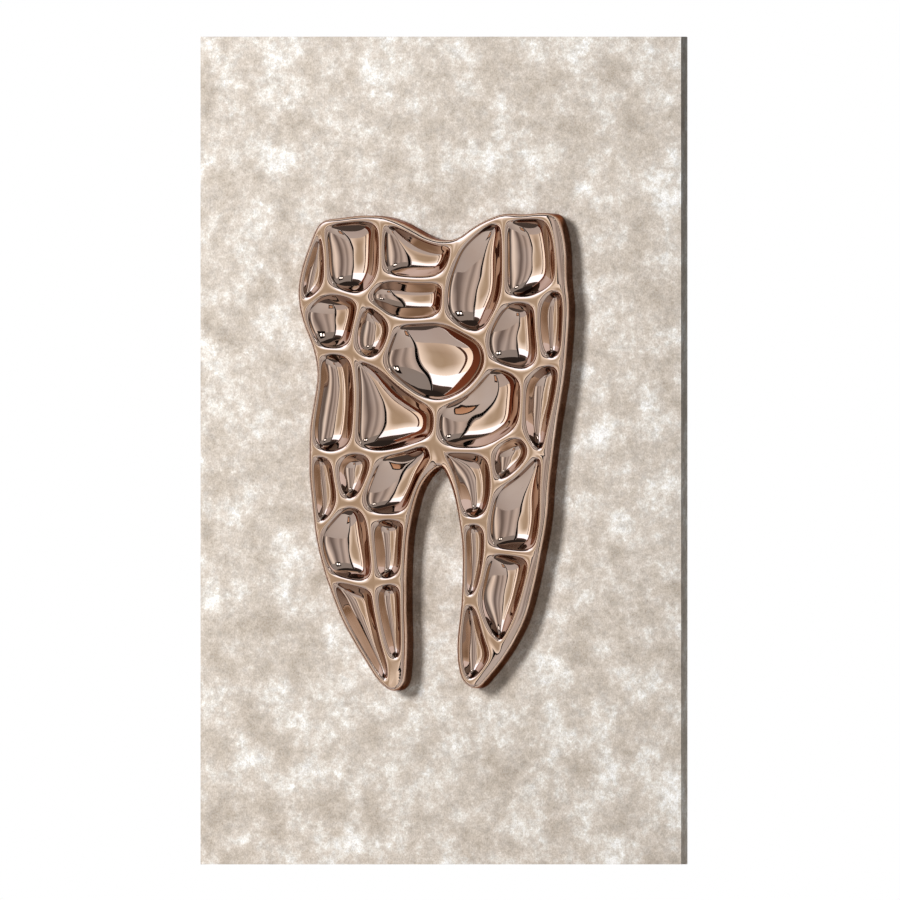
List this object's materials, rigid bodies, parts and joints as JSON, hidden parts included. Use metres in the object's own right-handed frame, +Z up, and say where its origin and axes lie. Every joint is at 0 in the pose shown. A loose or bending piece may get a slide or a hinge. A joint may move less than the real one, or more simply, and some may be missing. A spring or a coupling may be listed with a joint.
{
  "type": "tooth wall sculpture",
  "caption": "Wall sculpture: a mirror-finish relief of a molar with two roots and faceted pockets, on a stone-faced panel that hangs from a cleat.",
  "frame": {"origin": "middle of the wall cleat's back face, in the plane of the wall, 165 mm below the panel's top edge", "axes": "+Z up, +X to the right as seen from the front, +Y into the wall, so the relief faces -Y"},
  "size_m": [0.6, 0.0726, 1],
  "materials": {
    "rose_gold": "mirror",
    "stone": "matt stone plaster",
    "timber": "raw planed",
    "aluminium": "mill",
    "steel": "zinc plated",
    "brass": "plain",
    "felt": "felt"
  },
  "bodies": {
    "wall_rail": {"wall_cleat": "aluminium"},
    "sculpture": {"panel_cleat": "aluminium", "cleat_screw_1": "steel", "cleat_screw_2": "steel", "cleat_screw_3": "steel", "cleat_screw_4": "steel", "hanging_rail": "timber", "frame_stile_left": "timber", "frame_stile_right": "timber", "frame_rail_top": "timber", "frame_rail_bottom": "timber", "brace_upper": "timber", "brace_middle": "timber", "brace_lower": "timber", "face_board": "stone", "edge_strip_left": "stone", "edge_strip_right": "stone", "edge_strip_top": "stone", "edge_strip_bottom": "stone", "tooth_casting": "rose_gold", "insert_1": "brass", "insert_2": "brass", "insert_3": "brass", "insert_4": "brass", "insert_5": "brass", "insert_6": "brass", "washer_1": "steel", "washer_2": "steel", "washer_3": "steel", "washer_4": "steel", "washer_5": "steel", "washer_6": "steel", "screw_1": "steel", "screw_2": "steel", "screw_3": "steel", "screw_4": "steel", "screw_5": "steel", "screw_6": "steel", "wall_pad_left": "felt", "wall_pad_right": "felt"}
  },
  "joints": [
    {"name": "lift_off", "type": "slide", "parent": "wall_rail", "child": "sculpture", "axis": [0, 0, 1], "range_m": [0, 0.014]}
  ]
}
